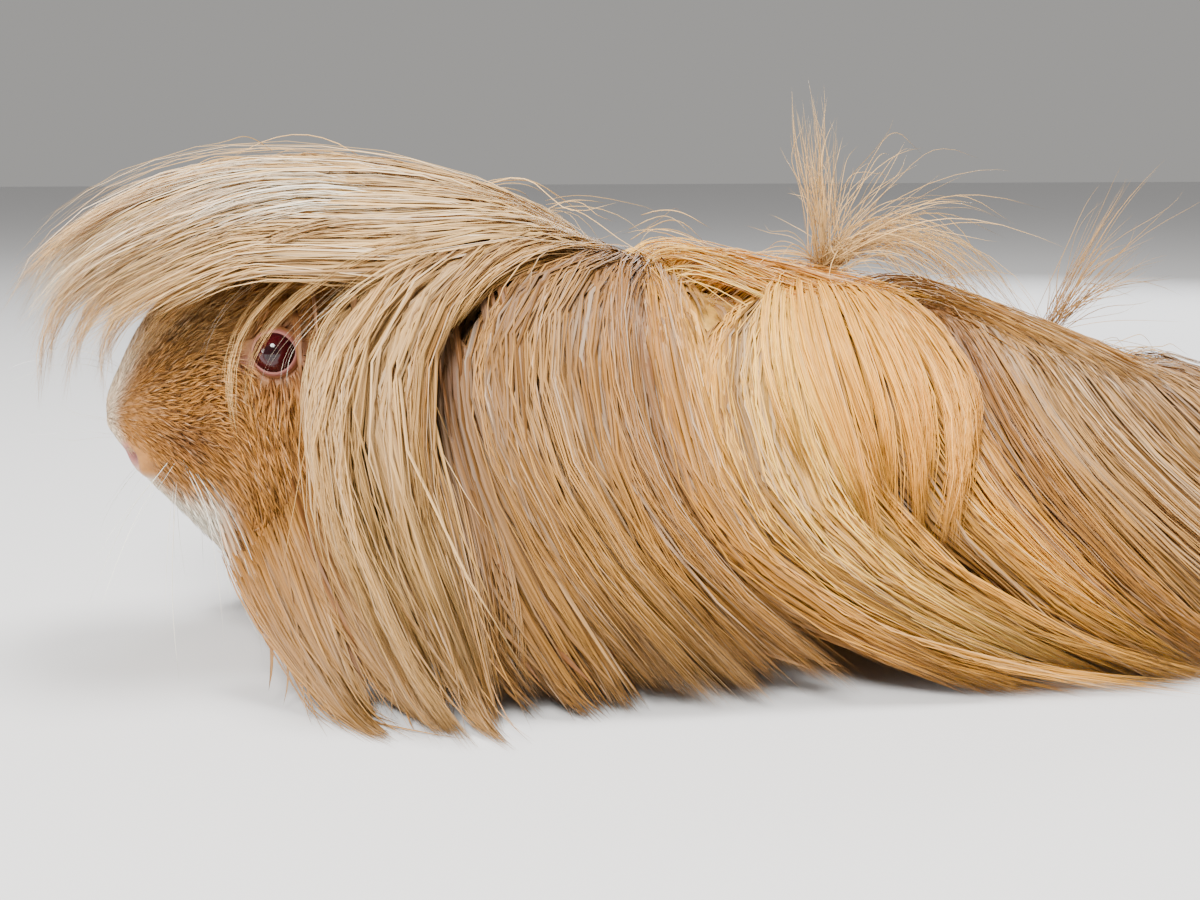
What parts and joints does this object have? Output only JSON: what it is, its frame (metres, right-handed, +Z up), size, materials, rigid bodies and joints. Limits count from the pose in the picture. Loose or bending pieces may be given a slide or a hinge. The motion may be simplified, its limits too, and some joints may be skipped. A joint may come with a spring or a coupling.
{
  "type": "guinea pig",
  "caption": "Long-haired guinea pig standing at rest: short-furred face under a swept forelock, parted silky coat hanging to the floor, hair trailing behind.",
  "frame": {"origin": "floor level under the middle of the whole animal, coat included", "axes": "+X back along the body from nose to tail end, +Y to the animal's right, +Z up"},
  "size_m": [0.3392, 0.1688, 0.1243],
  "materials": {
    "coat_cream": "long silky cream-white hair",
    "coat_beige": "long silky beige hair with brown shadows",
    "coat_gold": "long silky golden hair",
    "coat_tan": "long silky grey-tan hair",
    "face_fur": "short dense ginger fur with a white blaze and chin",
    "skin": "bare pink skin with a thin down",
    "eye": "wet dark ruby eye"
  },
  "bodies": {
    "root": {"head": "face_fur", "neck": "coat_beige", "trunk": "coat_beige", "rump": "coat_tan", "eye_left": "eye", "eye_right": "eye", "ear_left": "skin", "ear_right": "skin", "leg_front_left": "skin", "leg_front_right": "skin", "leg_hind_left": "skin", "leg_hind_right": "skin", "forelock": "coat_cream", "fringe": "coat_cream", "lock_cheek_left": "coat_cream", "lock_cheek_right": "coat_cream", "coat_shoulder_left": "coat_beige", "coat_shoulder_right": "coat_beige", "coat_flank_left": "coat_beige", "coat_flank_right": "coat_beige", "coat_haunch_left": "coat_gold", "coat_haunch_right": "coat_gold", "lock_flank_left": "coat_gold", "lock_flank_right": "coat_gold", "train_left": "coat_tan", "train_middle": "coat_tan", "train_right": "coat_tan", "tuft_back": "coat_cream", "tuft_rump": "coat_tan"}
  },
  "joints": []
}
